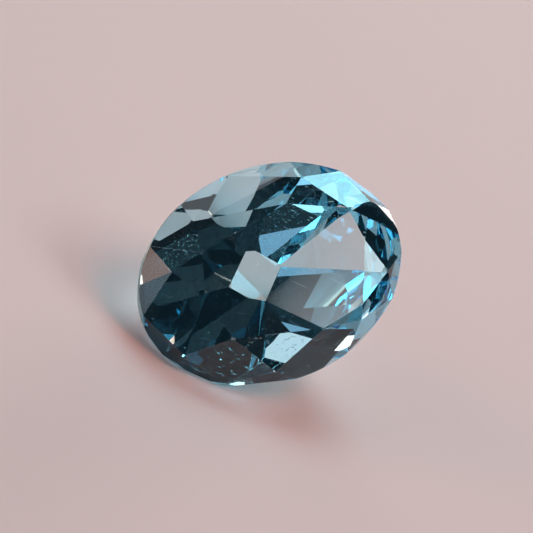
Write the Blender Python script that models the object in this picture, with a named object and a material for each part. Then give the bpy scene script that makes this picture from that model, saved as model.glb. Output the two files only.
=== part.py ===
"""Loose oval brilliant-cut topaz, lying at rest on one of its pavilion facets.

The stone is made the way a cutter makes it: an oval blank first, then one flat cut for each facet,
with the place and slope of every cut read from a cutting chart. It is cut upright, table up and
culet down, and then turned onto the facet that it lies on. Lengths are in metres and angles in
degrees. While the stone is being cut, X runs along its length and angles run round from there.
"""

import math

import bmesh
import bpy
from mathutils import Matrix, Vector

MM = 0.001

# Outline and heights, measured from the top edge of the girdle
LENGTH = 8.0 * MM
WIDTH = 5.9 * MM
CROWN_HEIGHT = 0.83 * MM
GIRDLE_THICKNESS = 0.25 * MM
BLANK_DEPTH = 6.0 * MM
OUTLINE_SIDES = 96

# Cutting chart of the crown, by section round the stone: the table's corners, where each kite facet
# meets the girdle, how high each star facet's tip stands as a share of the crown's height, and where
# each pair of upper girdle facets meets
TABLE_CORNERS = (
    (2.60 * MM, -0.15 * MM),
    (2.50 * MM, 0.85 * MM),
    (0.85 * MM, 1.60 * MM),
    (-2.00 * MM, 1.25 * MM),
    (-2.45 * MM, 0.05 * MM),
    (-2.15 * MM, -1.25 * MM),
    (0.45 * MM, -1.95 * MM),
    (1.80 * MM, -1.75 * MM),
)
KITE_FEET = (-5.5, 39.5, 92.0, 138.5, 174.5, 231.0, 271.5, 320.0)
STAR_TIPS = (0.54, 0.64, 0.57, 0.62, 0.45, 0.45, 0.80, 0.60)
UPPER_JOINTS = (7.5, 63.0, 115.0, 158.5, 205.5, 262.5, 286.5, 343.5)

# Cutting chart of the pavilion: where each main facet meets the girdle, its slope, where each pair
# of lower girdle facets meets, and the slopes of the pair
MAIN_FEET = (-7.0, 48.5, 87.0, 146.0, 177.0, 197.5, 273.5, 311.5)
MAIN_SLOPES = (42.0, 46.0, 49.5, 39.0, 41.5, 36.5, 48.5, 44.0)
LOWER_JOINTS = (17.5, 65.5, 119.0, 168.0, 186.5, 232.0, 295.0, 332.5)
LOWER_SLOPES = (
    (49.0, 53.5),
    (51.0, 55.0),
    (53.5, 45.5),
    (47.5, 47.5),
    (47.5, 44.5),
    (41.0, 55.0),
    (54.5, 51.5),
    (50.5, 49.5),
)

# The small culet facet across the bottom, a little off level: its depth under the girdle's top edge
# on the stone's axis, its slope, and the direction in which it looks
CULET_DEPTH = 2.79 * MM
CULET_SLOPE = 15.0
CULET_TOWARDS = 157.0

# The section whose first lower girdle facet the stone lies on, and where its table then faces
RESTING_SECTION = 5
TABLE_FACES = -90.0

BLUE = (0.22, 0.55, 0.72, 1.0)
ROUGHNESS = 0.03


def clear_scene():
    for old in list(bpy.data.objects):
        bpy.data.objects.remove(old, do_unlink=True)


def girdle_point(angle, height):
    turn = math.radians(angle)
    return Vector((LENGTH / 2 * math.cos(turn), WIDTH / 2 * math.sin(turn), height))


def girdle_direction(angle):
    turn = math.radians(angle)
    return Vector((-LENGTH / 2 * math.sin(turn), WIDTH / 2 * math.cos(turn), 0.0))


def next_section(section):
    return (section + 1) % len(KITE_FEET)


def upward_plane(point, along, across):
    """A crown plane through a point and two directions, as its point and its outward normal."""
    normal = along.cross(across).normalized()
    if normal.z < 0:
        normal.negate()
    return point, normal


def sloped_plane(point, along, slope):
    """A pavilion plane that holds a level line and falls away under it at the given slope."""
    outward = along.cross(Vector((0.0, 0.0, 1.0))).normalized()
    tilt = math.radians(slope)
    return point, outward * math.sin(tilt) - Vector((0.0, 0.0, math.cos(tilt)))


def meeting_point(first, second, height):
    """The point at the given height on the edge between two facets."""
    rows = Matrix((first[1], second[1], Vector((0.0, 0.0, 1.0))))
    sides = Vector((first[1].dot(first[0]), second[1].dot(second[0]), height))
    return rows.inverted() @ sides


def crown_facets():
    corners = [Vector((x, y, CROWN_HEIGHT)) for x, y in TABLE_CORNERS]
    table = (corners[0], Vector((0.0, 0.0, 1.0)))
    kites = []
    for corner, angle in zip(corners, KITE_FEET):
        foot = girdle_point(angle, 0.0)
        kites.append(upward_plane(foot, girdle_direction(angle), corner - foot))
    facets = [table] + kites
    for section, kite in enumerate(kites):
        after = next_section(section)
        tip = meeting_point(kite, kites[after], STAR_TIPS[section] * CROWN_HEIGHT)
        facets.append(upward_plane(tip, corners[section] - tip, corners[after] - tip))
        joint = girdle_point(UPPER_JOINTS[section], 0.0)
        for angle in (KITE_FEET[section], KITE_FEET[after]):
            facets.append(upward_plane(tip, girdle_point(angle, 0.0) - tip, joint - tip))
    return facets


def pavilion_facets():
    bottom = -GIRDLE_THICKNESS
    mains = []
    for angle, slope in zip(MAIN_FEET, MAIN_SLOPES):
        mains.append(sloped_plane(girdle_point(angle, bottom), girdle_direction(angle), slope))
    facets = list(mains)
    for section, joint_angle in enumerate(LOWER_JOINTS):
        joint = girdle_point(joint_angle, bottom)
        before = girdle_point(MAIN_FEET[section], bottom)
        after = girdle_point(MAIN_FEET[next_section(section)], bottom)
        first_slope, second_slope = LOWER_SLOPES[section]
        facets.append(sloped_plane(joint, joint - before, first_slope))
        facets.append(sloped_plane(joint, after - joint, second_slope))
    resting = facets[len(mains) + 2 * RESTING_SECTION]
    return facets, resting


def oval_blank(shape):
    top = CROWN_HEIGHT * 1.2
    oval = Matrix.Diagonal((LENGTH / 2, WIDTH / 2, top + BLANK_DEPTH, 1.0))
    lift = Matrix.Translation((0.0, 0.0, (top - BLANK_DEPTH) / 2))
    bmesh.ops.create_cone(
        shape, cap_ends=True, segments=OUTLINE_SIDES, radius1=1.0, radius2=1.0, depth=1.0,
        matrix=lift @ oval,
    )


def culet_facet():
    tilt = math.radians(CULET_SLOPE)
    turn = math.radians(CULET_TOWARDS)
    normal = Vector((math.sin(tilt) * math.cos(turn), math.sin(tilt) * math.sin(turn), -math.cos(tilt)))
    return Vector((0.0, 0.0, -CULET_DEPTH)), normal


def cut_facet(shape, point, normal):
    everything = shape.verts[:] + shape.edges[:] + shape.faces[:]
    cut = bmesh.ops.bisect_plane(
        shape, geom=everything, dist=1e-7, plane_co=point, plane_no=normal, clear_outer=True,
    )
    rim = [part for part in cut["geom_cut"] if isinstance(part, bmesh.types.BMEdge)]
    if rim:
        bmesh.ops.contextual_create(shape, geom=rim)


def lay_down(shape, resting):
    """Turns the stone onto its resting facet, its table facing the set way, over the origin."""
    down = resting[1].rotation_difference(Vector((0.0, 0.0, -1.0))).to_matrix()
    table = down @ Vector((0.0, 0.0, 1.0))
    turn = Matrix.Rotation(math.radians(TABLE_FACES) - math.atan2(table.y, table.x), 3, "Z")
    bmesh.ops.transform(shape, matrix=(turn @ down).to_4x4(), verts=shape.verts[:])
    low = Vector([min(v.co[i] for v in shape.verts) for i in range(3)])
    high = Vector([max(v.co[i] for v in shape.verts) for i in range(3)])
    middle = (low + high) / 2
    bmesh.ops.translate(shape, vec=(-middle.x, -middle.y, -low.z), verts=shape.verts[:])


def topaz_material():
    material = bpy.data.materials.new("topaz")
    material.use_nodes = True
    shader = material.node_tree.nodes["Principled BSDF"]
    shader.inputs["Base Color"].default_value = BLUE
    shader.inputs["Roughness"].default_value = ROUGHNESS
    shader.inputs["Metallic"].default_value = 0.0
    return material


def build():
    clear_scene()
    collection = bpy.data.collections.new("oval_topaz")
    bpy.context.scene.collection.children.link(collection)

    shape = bmesh.new()
    oval_blank(shape)
    pavilion, resting = pavilion_facets()
    for point, normal in crown_facets() + pavilion + [culet_facet()]:
        cut_facet(shape, point, normal)
    bmesh.ops.remove_doubles(shape, verts=shape.verts[:], dist=0.015 * MM)
    lay_down(shape, resting)
    bmesh.ops.recalc_face_normals(shape, faces=shape.faces[:])

    mesh = bpy.data.meshes.new("topaz")
    shape.to_mesh(mesh)
    shape.free()
    stone = bpy.data.objects.new("topaz", mesh)
    stone.data.materials.append(topaz_material())
    collection.objects.link(stone)


build()
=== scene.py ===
# %% [markdown]
# # A faceted blue topaz on a pale sheet
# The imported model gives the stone's flat facets at their real size. This lesson gives it what makes a
# gem look real: worn facet edges, a ground girdle, clear blue depth, fine scratches and nicked
# corners. It is lit softly, as on a photographer's table. All lengths are in metres.

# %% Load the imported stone
import math

import bmesh
import bpy
import numpy as np
from mathutils import Matrix, Vector


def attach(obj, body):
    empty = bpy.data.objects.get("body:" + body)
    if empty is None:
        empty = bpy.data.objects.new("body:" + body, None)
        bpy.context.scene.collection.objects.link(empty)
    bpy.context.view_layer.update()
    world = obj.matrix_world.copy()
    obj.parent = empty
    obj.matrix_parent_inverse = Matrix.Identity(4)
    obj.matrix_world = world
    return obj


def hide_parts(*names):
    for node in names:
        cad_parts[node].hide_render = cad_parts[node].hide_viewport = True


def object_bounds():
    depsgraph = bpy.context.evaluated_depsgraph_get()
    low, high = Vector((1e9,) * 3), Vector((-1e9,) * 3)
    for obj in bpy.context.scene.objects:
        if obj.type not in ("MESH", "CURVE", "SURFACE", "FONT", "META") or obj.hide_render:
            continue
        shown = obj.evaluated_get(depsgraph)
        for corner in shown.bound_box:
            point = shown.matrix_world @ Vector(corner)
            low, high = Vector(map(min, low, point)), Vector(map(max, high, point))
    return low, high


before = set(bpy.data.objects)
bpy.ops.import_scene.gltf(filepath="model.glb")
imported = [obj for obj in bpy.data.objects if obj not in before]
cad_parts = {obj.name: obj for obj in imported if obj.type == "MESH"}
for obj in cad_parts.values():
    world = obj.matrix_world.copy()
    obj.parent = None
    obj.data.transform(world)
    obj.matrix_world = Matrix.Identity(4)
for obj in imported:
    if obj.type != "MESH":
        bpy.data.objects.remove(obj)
cad_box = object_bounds()
MM = 0.001
cad_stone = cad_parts["topaz"]
print("stone box in mm:", [round(v / MM, 2) for v in cad_box[1] - cad_box[0]])

# %% [markdown]
# ## The camera
# A gem is photographed from some way off with a long lens, so its outline hardly narrows with
# distance. The camera looks down at the stone and is rolled a little. Its place is found from the
# stone's own outline, so that the outline fills the same part of the picture as in the reference.

# %% Name the camera's angles and the outline's place
CAMERA_AZIMUTH = -17.5
CAMERA_ELEVATION = 30.2
CAMERA_ROLL = 35.4
CAMERA_DISTANCE = 250 * MM
SENSOR = 36 * MM
PICTURE_SIDE = 533.0
OUTLINE_LEFT, OUTLINE_RIGHT = 137.3, 401.5
OUTLINE_TOP, OUTLINE_BOTTOM = 160.4, 387.2


def view_axes(azimuth, elevation, roll):
    """The camera's right, up and backward directions. Azimuth 0 looks along +Y."""
    tilt = math.radians(elevation)
    round_stone = Matrix.Rotation(math.radians(azimuth), 3, "Z")
    back = round_stone @ Vector((0.0, -math.cos(tilt), math.sin(tilt)))
    level_up = round_stone @ Vector((0.0, math.sin(tilt), math.cos(tilt)))
    up = Matrix.Rotation(math.radians(roll), 3, back) @ level_up
    return up.cross(back), up, back


def seen_at(points, spot, axes, lens):
    """The pixels that points land on, for a camera at a spot."""
    shown = []
    for point in points:
        offset = point - spot
        reach = lens / SENSOR * PICTURE_SIDE / -offset.dot(axes[2])
        shown.append((PICTURE_SIDE / 2 + offset.dot(axes[0]) * reach,
                      PICTURE_SIDE / 2 - offset.dot(axes[1]) * reach))
    return np.array(shown)


# %% Place the camera
ROUNDS = 6
CLIP_START, CLIP_END = 10 * MM, 5.0
axes = view_axes(CAMERA_AZIMUTH, CAMERA_ELEVATION, CAMERA_ROLL)
stone_points = [v.co.copy() for v in cad_stone.data.vertices]
spot = (cad_box[0] + cad_box[1]) / 2 + axes[2] * CAMERA_DISTANCE
lens = SENSOR * CAMERA_DISTANCE / (2 * (cad_box[1] - cad_box[0]).x)
for _ in range(ROUNDS):
    shown = seen_at(stone_points, spot, axes, lens)
    low, high = shown.min(axis=0), shown.max(axis=0)
    lens *= (OUTLINE_RIGHT - OUTLINE_LEFT) / (high[0] - low[0])
    across = (low[0] + high[0] - OUTLINE_LEFT - OUTLINE_RIGHT) / 2
    down = (low[1] + high[1] - OUTLINE_TOP - OUTLINE_BOTTOM) / 2
    pixel = CAMERA_DISTANCE * SENSOR / lens / PICTURE_SIDE
    spot += axes[0] * across * pixel - axes[1] * down * pixel

camera_data = bpy.data.cameras.new("camera")
camera_data.sensor_width = SENSOR / MM
camera_data.lens = lens / MM
camera_data.clip_start = CLIP_START
camera_data.clip_end = CLIP_END
camera = bpy.data.objects.new("camera", camera_data)
scene = bpy.context.scene
scene.collection.objects.link(camera)
camera.matrix_world = Matrix.Translation(spot) @ Matrix(axes).transposed().to_4x4()
scene.camera = camera
print("outline in pixels:", low.round(1), high.round(1), "lens in mm:", round(lens / MM, 1))

# %% [markdown]
# ## Light that bounces inside a gem
# Light turns many times inside a cut stone before it leaves. The usual limits on bounces would show
# such paths black, so they are raised. Colours are shown as they are, without a film look.

# %% Let light bounce
BOUNCES = 32
BLUR_GLOSSY = 0.3
scene.cycles.max_bounces = BOUNCES
scene.cycles.glossy_bounces = BOUNCES
scene.cycles.transmission_bounces = BOUNCES
scene.cycles.blur_glossy = BLUR_GLOSSY
scene.cycles.use_denoising = True
scene.view_settings.view_transform = "Standard"

# %% [markdown]
# ## The sheet under the stone
# The floor is one plain pale pink sheet. A real sheet is never quite even, so two soft noises make
# its tone wander a little and a fine one gives it a faint tooth. A flat facet never quite touches
# paper, so the sheet lies a few thousandths of a millimetre below the stone. That also keeps the two
# surfaces from sharing one plane, where the renderer couldn't tell which comes first.

# %% Make the sheet
SHEET_COLOUR = (0.93, 0.64, 0.60, 1.0)
SHEET_COLOUR_DARKER = (0.89, 0.605, 0.57, 1.0)
SHEET_REACH = 600 * MM
AIR_GAP = 0.004 * MM
PATCHES_PER_METRE = 90.0
TOOTH_PER_METRE = 2500.0
TOOTH_HEIGHT = 0.01 * MM
TOOTH_STRENGTH = 0.3
PATCH_DETAIL = 4.0
SHEET_ROUGHNESS = 0.7
SHEET_SPECULAR = 0.25


def new_material(name):
    material = bpy.data.materials.new(name)
    material.use_nodes = True
    nodes = material.node_tree.nodes
    return material, nodes, material.node_tree.links, nodes["Principled BSDF"]


def noise_of(nodes, links, place, scale, detail=2.0):
    noise = nodes.new("ShaderNodeTexNoise")
    noise.inputs["Scale"].default_value = scale
    noise.inputs["Detail"].default_value = detail
    links.new(place, noise.inputs["Vector"])
    return noise.outputs["Fac"]


def bump_of(nodes, links, height, distance, strength):
    bump = nodes.new("ShaderNodeBump")
    bump.inputs["Distance"].default_value = distance
    bump.inputs["Strength"].default_value = strength
    links.new(height, bump.inputs["Height"])
    return bump.outputs["Normal"]


sheet_mesh = bmesh.new()
bmesh.ops.create_grid(sheet_mesh, x_segments=1, y_segments=1, size=SHEET_REACH)
bmesh.ops.translate(sheet_mesh, vec=(0.0, 0.0, -AIR_GAP), verts=sheet_mesh.verts[:])
sheet_data = bpy.data.meshes.new("sheet")
sheet_mesh.to_mesh(sheet_data)
sheet_mesh.free()
sheet = bpy.data.objects.new("sheet", sheet_data)
scene.collection.objects.link(sheet)
material, nodes, links, shader = new_material("pale_sheet")
place = nodes.new("ShaderNodeTexCoord").outputs["Object"]
tone = nodes.new("ShaderNodeMix")
tone.data_type = "RGBA"
tone.inputs["A"].default_value = SHEET_COLOUR
tone.inputs["B"].default_value = SHEET_COLOUR_DARKER
links.new(noise_of(nodes, links, place, PATCHES_PER_METRE, PATCH_DETAIL), tone.inputs["Factor"])
links.new(tone.outputs["Result"], shader.inputs["Base Color"])
tooth = noise_of(nodes, links, place, TOOTH_PER_METRE)
links.new(bump_of(nodes, links, tooth, TOOTH_HEIGHT, TOOTH_STRENGTH), shader.inputs["Normal"])
shader.inputs["Roughness"].default_value = SHEET_ROUGHNESS
shader.inputs["Specular IOR Level"].default_value = SHEET_SPECULAR
sheet_data.materials.append(material)
print("sheet side in mm:", round(2 * SHEET_REACH / MM))

# %% [markdown]
# ## The soft boxes
# A gem shows its surroundings. Its dark facets look into the dark side of the room, and its bright
# ones into lamps. So the light isn't one big dome but a few soft boxes of one size at set places
# round the stone, each with its own brightness and tint, and a room that is nearly black. The high
# ones at the back and right are as blue as a window's sky, and the top and left ones are warmer.

# %% Make the soft boxes
LAMP_DISTANCE = 400 * MM
LAMP_SIZE = (195 * MM, 127 * MM)
SOFT_BOXES = (
    ("far_high_light", 0, 46, (3.9, 8.6, 10.0)),
    ("right_high_light", 80, 46, (3.7, 5.3, 5.6)),
    ("top_light", 72, 68, (4.2, 1.7, 1.2)),
    ("far_right_low_light", 30, 8, (6.5, 6.1, 5.8)),
    ("left_light", 270, 26, (3.0, 2.0, 1.7)),
    ("far_left_light", 320, 46, (1.0, 0.9, 0.9)),
    ("left_near_light", 240, 26, (1.0, 1.2, 1.4)),
    ("far_light", 345, 26, (1.6, 1.7, 1.7)),
    ("near_low_light", 210, 8, (0.5, 0.5, 0.6)),
)


def soft_box(name, azimuth, elevation, glow):
    """A lamp aimed at the stone, with its glow in red, green and blue. Azimuth 0 is on the +Y side."""
    turn, tilt = math.radians(azimuth), math.radians(elevation)
    away = Vector((math.sin(turn) * math.cos(tilt), math.cos(turn) * math.cos(tilt), math.sin(tilt)))
    lamp = bpy.data.lights.new(name, "AREA")
    lamp.shape = "RECTANGLE"
    lamp.size, lamp.size_y = LAMP_SIZE
    strongest = max(glow)
    lamp.energy = strongest * math.pi * lamp.size * lamp.size_y
    lamp.color = [part / strongest for part in glow]
    stand = bpy.data.objects.new(name, lamp)
    scene.collection.objects.link(stand)
    facing = away.to_track_quat("Z", "Y").to_matrix().to_4x4()
    stand.matrix_world = Matrix.Translation(away * LAMP_DISTANCE) @ facing


for soft_box_values in SOFT_BOXES:
    soft_box(*soft_box_values)
print("soft boxes:", len(SOFT_BOXES))

# %% Darken the room
ROOM_COLOUR = (0.010, 0.013, 0.016, 1.0)
room = bpy.data.worlds.new("room")
room.use_nodes = True
scene.world = room
room.node_tree.nodes["Background"].inputs["Color"].default_value = ROOM_COLOUR

# %% [markdown]
# ## The stone
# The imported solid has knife-sharp edges, and each facet is split in triangles. A real facet is one
# flat plane, and handling wears a thin line along every edge and nicks a few corners. So the solid's
# mesh is copied and its triangles are merged back into facets. Then a few corners get a small flat,
# and every polished edge gets a very narrow one, which a bevel of one segment makes.

# %% Merge the triangles into facets
FLAT_ANGLE = math.radians(0.4)
WELD = 0.0005 * MM


def merged_copy(source):
    """The solid as one bmesh of whole facets."""
    shape = bmesh.new()
    shape.from_mesh(source.data)
    bmesh.ops.remove_doubles(shape, verts=shape.verts[:], dist=WELD)
    bmesh.ops.dissolve_limit(
        shape, angle_limit=FLAT_ANGLE, use_dissolve_boundaries=False,
        verts=shape.verts[:], edges=shape.edges[:],
    )
    return shape


shape = merged_copy(cad_stone)
table = max(shape.faces, key=lambda facet: facet.calc_area())
table_normal = table.normal.copy()
print("facets:", len(shape.faces), "table area in mm2:", round(table.calc_area() / MM ** 2, 2))

# %% Mark the girdle, which is ground and not polished
GIRDLE_LEAN = 0.05
ground = shape.faces.layers.float.new("ground")
wear = shape.faces.layers.float.new("wear")
for facet in shape.faces:
    if abs(facet.normal.dot(table_normal)) < GIRDLE_LEAN:
        facet[ground] = 1.0
print("ground faces:", sum(facet[ground] > 0 for facet in shape.faces))

# %% Nick a few corners
NICK_SIZE = 0.07 * MM
NICK_FINISH = 1.0
NICKED_CORNERS = ((205, 261), (236, 337), (318, 327), (140, 300), (392, 268))
near_side = [v for v in shape.verts if max(f.normal.dot(axes[2]) for f in v.link_faces) > 0]
corner_pixels = seen_at([v.co for v in near_side], spot, axes, lens)
chosen = set()
for column, row in NICKED_CORNERS:
    gaps = np.hypot(corner_pixels[:, 0] - column, corner_pixels[:, 1] - row)
    chosen.add(near_side[int(gaps.argmin())])
nicks = bmesh.ops.bevel(
    shape, geom=[v for v in near_side if v in chosen], offset=NICK_SIZE, offset_type="OFFSET",
    segments=1, profile=0.5, affect="VERTICES", clamp_overlap=True, material=-1,
)
for facet in nicks["faces"]:
    facet[wear] = NICK_FINISH
print("nicked corners:", len(chosen))

# %% Wear the facet edges
EDGE_WEAR = 0.014 * MM
EDGE_FINISH = 0.6
worn_edges = [edge for edge in shape.edges if any(facet[ground] == 0 for facet in edge.link_faces)]
flats = bmesh.ops.bevel(
    shape, geom=worn_edges, offset=EDGE_WEAR, offset_type="OFFSET", segments=1,
    profile=0.5, affect="EDGES", clamp_overlap=True, material=-1,
)
for facet in flats["faces"]:
    facet[wear] = EDGE_FINISH
    facet[ground] = 0.0
print("open edges:", sum(not edge.is_manifold for edge in shape.edges))

stone_data = bpy.data.meshes.new("polished_stone")
shape.to_mesh(stone_data)
shape.free()
stone = bpy.data.objects.new("polished_stone", stone_data)
scene.collection.objects.link(stone)
print("worn stone faces:", len(stone_data.polygons))

# %% [markdown]
# ## Clear blue crystal
# Topaz bends light a little more than glass does. Its colour isn't on the surface: light loses its
# red on the way through, so long paths look deep blue and short ones nearly clear. That is what a
# volume that absorbs does, while the surface stays white and fully see-through.

# %% Make the crystal clear and blue
TOPAZ_IOR = 1.62
LET_THROUGH_COLOUR = (0.04, 0.76, 0.93, 1.0)
ABSORPTION_PER_METRE = 140.0

material, nodes, links, shader = new_material("topaz_crystal")
shader.inputs["Base Color"].default_value = (1.0, 1.0, 1.0, 1.0)
shader.inputs["IOR"].default_value = TOPAZ_IOR
shader.inputs["Transmission Weight"].default_value = 1.0
depth = nodes.new("ShaderNodeVolumeAbsorption")
depth.inputs["Color"].default_value = LET_THROUGH_COLOUR
depth.inputs["Density"].default_value = ABSORPTION_PER_METRE
links.new(depth.outputs["Volume"], nodes["Material Output"].inputs["Volume"])

# %% [markdown]
# ## Polish, scratches and specks
# A polished facet has no roughness at all, which keeps the reflections inside it crisp. What breaks
# the polish is added as a mask from 0 to 1: hairline scratches, tiny specks, the flats along worn
# edges and the ground girdle. All of them set the roughness, and the scratches and specks are also a
# very low bump.

# %% Draw the scratches and specks
SCRATCH_SETS = (
    ((0.3, 0.2, 0.5), (320.0, 15000.0, 15000.0)),
    ((0.1, 0.9, 2.1), (260.0, 12000.0, 12000.0)),
    ((1.2, 0.4, 1.3), (420.0, 17000.0, 17000.0)),
)
SCRATCH_REACH = 0.13
SCRATCH_SHARE = 0.45
SCRATCHED_PATCHES = 380.0
PATCH_LIMIT = 0.5
SPECKS_PER_METRE = 3200.0
SPECK_RADIUS = 0.06
SPECK_SHARE = 0.80
place = nodes.new("ShaderNodeTexCoord").outputs["Object"]


def number_op(operation, first, second=0.0, clamp=False):
    """One Math node. Each side is a number or a socket."""
    node = nodes.new("ShaderNodeMath")
    node.operation = operation
    node.use_clamp = clamp
    for socket, value in zip(node.inputs, (first, second)):
        if isinstance(value, (int, float)):
            socket.default_value = value
        else:
            links.new(value, socket)
    return node.outputs[0]


def dots(scale, reach, share, turn=(0.0, 0.0, 0.0)):
    """A spot in the middle of some cells. Long narrow cells turn the spots into short straight lines."""
    mapping = nodes.new("ShaderNodeMapping")
    mapping.inputs["Rotation"].default_value = turn
    mapping.inputs["Scale"].default_value = scale
    links.new(place, mapping.inputs["Vector"])
    cells = nodes.new("ShaderNodeTexVoronoi")
    cells.inputs["Scale"].default_value = 1.0
    links.new(mapping.outputs["Vector"], cells.inputs["Vector"])
    shade = nodes.new("ShaderNodeSeparateColor")
    links.new(cells.outputs["Color"], shade.inputs["Color"])
    chosen = number_op("GREATER_THAN", shade.outputs["Red"], share)
    return number_op("MULTIPLY", number_op("LESS_THAN", cells.outputs["Distance"], reach), chosen)


scratches = 0.0
for index, (turn, stretch) in enumerate(SCRATCH_SETS):
    patch = noise_of(nodes, links, place, SCRATCHED_PATCHES * (1 + index / 2), 1.0)
    kept = number_op("GREATER_THAN", patch, PATCH_LIMIT)
    lines = dots(stretch, SCRATCH_REACH, SCRATCH_SHARE, turn)
    scratches = number_op("ADD", scratches, number_op("MULTIPLY", lines, kept))
speck_dots = dots((SPECKS_PER_METRE,) * 3, SPECK_RADIUS, SPECK_SHARE)

# %% Add up what breaks the polish
SCRATCH_ROUGHNESS, SPECK_ROUGHNESS = 0.22, 0.5
WEAR_ROUGHNESS, GROUND_ROUGHNESS = 0.30, 0.42
MARK_HEIGHT = 0.002 * MM
MARK_STRENGTH = 0.4


def face_value(name):
    node = nodes.new("ShaderNodeAttribute")
    node.attribute_name = name
    return node.outputs["Fac"]


marks = number_op("ADD", number_op("MULTIPLY", scratches, SCRATCH_ROUGHNESS),
                  number_op("MULTIPLY", speck_dots, SPECK_ROUGHNESS))
worn = number_op("ADD", number_op("MULTIPLY", face_value("wear"), WEAR_ROUGHNESS),
                 number_op("MULTIPLY", face_value("ground"), GROUND_ROUGHNESS))
links.new(number_op("ADD", marks, worn, clamp=True), shader.inputs["Roughness"])
links.new(bump_of(nodes, links, marks, MARK_HEIGHT, MARK_STRENGTH), shader.inputs["Normal"])
stone_data.materials.append(material)
print("nodes in the crystal's finish:", len(nodes))

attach(stone, "root")
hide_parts("topaz")
